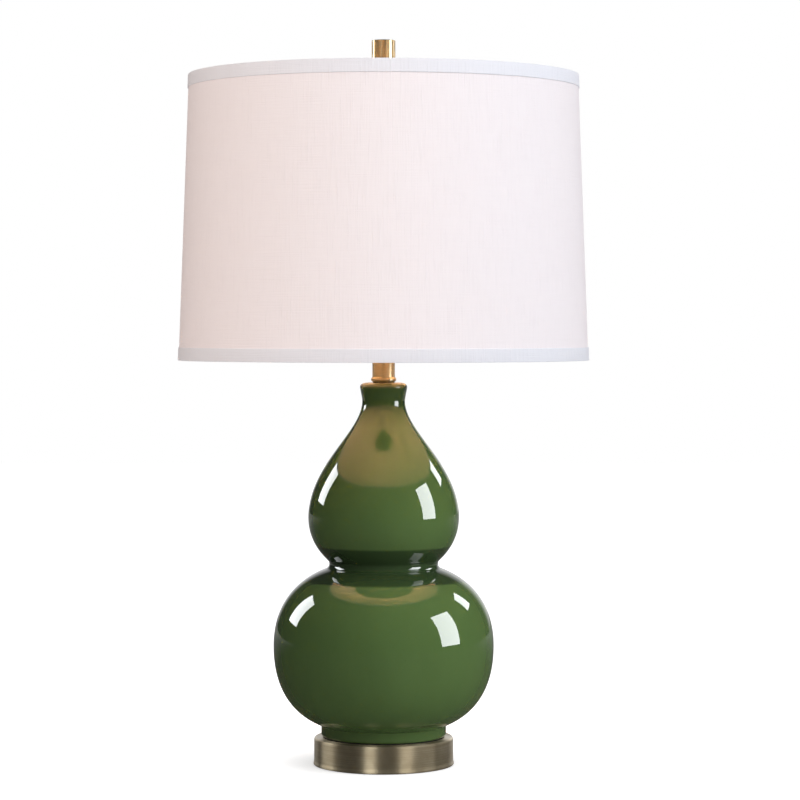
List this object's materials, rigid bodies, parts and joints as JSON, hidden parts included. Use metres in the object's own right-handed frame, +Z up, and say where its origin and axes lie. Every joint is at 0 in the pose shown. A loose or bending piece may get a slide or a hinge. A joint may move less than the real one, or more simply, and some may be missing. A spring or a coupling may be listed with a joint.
{
  "type": "double gourd table lamp",
  "caption": "Table lamp: glazed ceramic double-gourd body on a round brass-finished base, metal neck, harp and slightly tapered drum shade held by a cylindrical finial.",
  "frame": {"origin": "centre of the base where it rests on the table", "axes": "+Z up along the lamp's axis; -Y is the front, where the switch is; +Y is the back, where the cord leaves; +X is to the right seen from the front"},
  "size_m": [0.4024, 0.4024, 0.71],
  "materials": {
    "felt": "wool felt",
    "antique_brass": "brushed, darkened, lacquered",
    "bushing": "moulded black",
    "plated_steel": "bright zinc plate",
    "gasket_rubber": "matt",
    "green_glaze": "high gloss",
    "satin_brass": "satin lacquered",
    "harp_brass": "plated, satin",
    "socket_brass": "pressed, bright",
    "fibre_board": "vulcanised fibre",
    "moulded_phenolic": "moulded dark",
    "contact_metal": "rolled sheet",
    "switch_plastic": "moulded black",
    "bulb_glass": "frosted soft white",
    "bulb_insulator": "black glass",
    "solder": "dull",
    "painted_wire": "white enamel",
    "liner_plastic": "translucent white",
    "linen": "white linen"
  },
  "bodies": {
    "stand": {"base_felt": "felt", "base_cup": "antique_brass", "cord_bushing": "bushing", "flat_washer": "plated_steel", "lock_washer": "plated_steel", "bottom_nut": "plated_steel", "foot_gasket": "gasket_rubber", "gourd_body": "green_glaze", "neck_washer": "gasket_rubber", "check_ring": "satin_brass", "neck_tube": "satin_brass", "neck_cap": "satin_brass", "threaded_pipe": "plated_steel", "harp_saddle": "harp_brass", "socket_cap": "socket_brass", "set_screw": "plated_steel", "socket_shell": "socket_brass", "socket_liner": "fibre_board", "socket_block": "moulded_phenolic", "terminal_screws": "socket_brass", "socket_screw_shell": "contact_metal", "socket_contact": "socket_brass"},
    "knob": {"switch_shaft": "plated_steel", "switch_knob": "switch_plastic"},
    "bulb": {"bulb_contact": "solder", "bulb_insulator": "bulb_insulator", "bulb_cap": "contact_metal", "bulb_globe": "bulb_glass"},
    "harp": {"harp_wire": "harp_brass"},
    "sleeve_left": {"harp_sleeve_left": "harp_brass"},
    "sleeve_right": {"harp_sleeve_right": "harp_brass"},
    "swivel": {"harp_swivel": "harp_brass"},
    "shade": {"shade_spider": "painted_wire", "shade_top_ring": "painted_wire", "shade_bottom_ring": "painted_wire", "shade_liner": "liner_plastic", "shade_cover": "linen", "shade_top_hem": "linen", "shade_bottom_hem": "linen"},
    "finial": {"finial": "satin_brass"}
  },
  "joints": [
    {"name": "switch_turn", "type": "hinge", "parent": "stand", "child": "knob", "pos_m": [0, -0.03, 0.4587], "axis": [0, -1, 0], "continuous": true},
    {"name": "bulb_turn", "type": "hinge", "parent": "stand", "child": "bulb", "pos_m": [0, 0, 0.48], "axis": [0, 0, 1], "range_deg": [0, 1260]},
    {"name": "harp_lift", "type": "slide", "parent": "stand", "child": "harp", "axis": [0, 0, 1], "range_m": [0, 0.02]},
    {"name": "left_sleeve_lift", "type": "slide", "parent": "harp", "child": "sleeve_left", "axis": [0, 0, 1], "range_m": [0, 0.016]},
    {"name": "right_sleeve_lift", "type": "slide", "parent": "harp", "child": "sleeve_right", "axis": [0, 0, 1], "range_m": [0, 0.016]},
    {"name": "shade_turn", "type": "hinge", "parent": "harp", "child": "swivel", "pos_m": [0, 0, 0.6541], "axis": [0, 0, 1], "continuous": true},
    {"name": "shade_lift", "type": "slide", "parent": "swivel", "child": "shade", "axis": [0, 0, 1], "range_m": [0, 0.28]},
    {"name": "finial_turn", "type": "hinge", "parent": "shade", "child": "finial", "pos_m": [0, 0, 0.68], "axis": [0, 0, 1], "range_deg": [0, 3600]}
  ]
}
